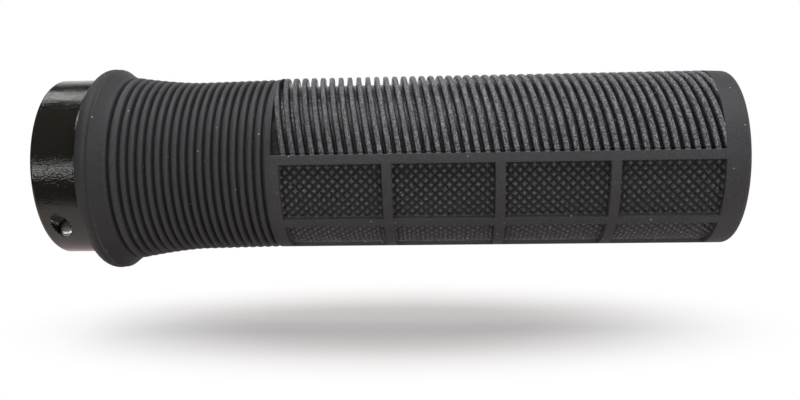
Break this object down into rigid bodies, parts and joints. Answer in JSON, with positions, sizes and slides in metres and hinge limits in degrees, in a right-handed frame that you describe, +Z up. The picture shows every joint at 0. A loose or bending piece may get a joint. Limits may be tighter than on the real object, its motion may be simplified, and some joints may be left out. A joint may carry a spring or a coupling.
{
  "type": "handlebar grip",
  "caption": "Lock-on handlebar grip: ribbed rubber sleeve with sunk pockets on a rigid core, held by one split clamp collar.",
  "frame": {"origin": "on the bar's axis, in the plane of the collar's free face", "axes": "+X along the bar from the collar to the outer end, +Z up with the slanted ribs on top"},
  "size_m": [0.13, 0.0396, 0.0396],
  "materials": {
    "rubber": "matte, dark grey",
    "core": "black, matte",
    "collar": "gloss black anodised",
    "screw": "black oxide"
  },
  "bodies": {
    "root": {"grip_sleeve": "rubber", "core_sleeve": "core", "lock_collar": "collar", "pinch_screw": "screw"}
  },
  "joints": []
}
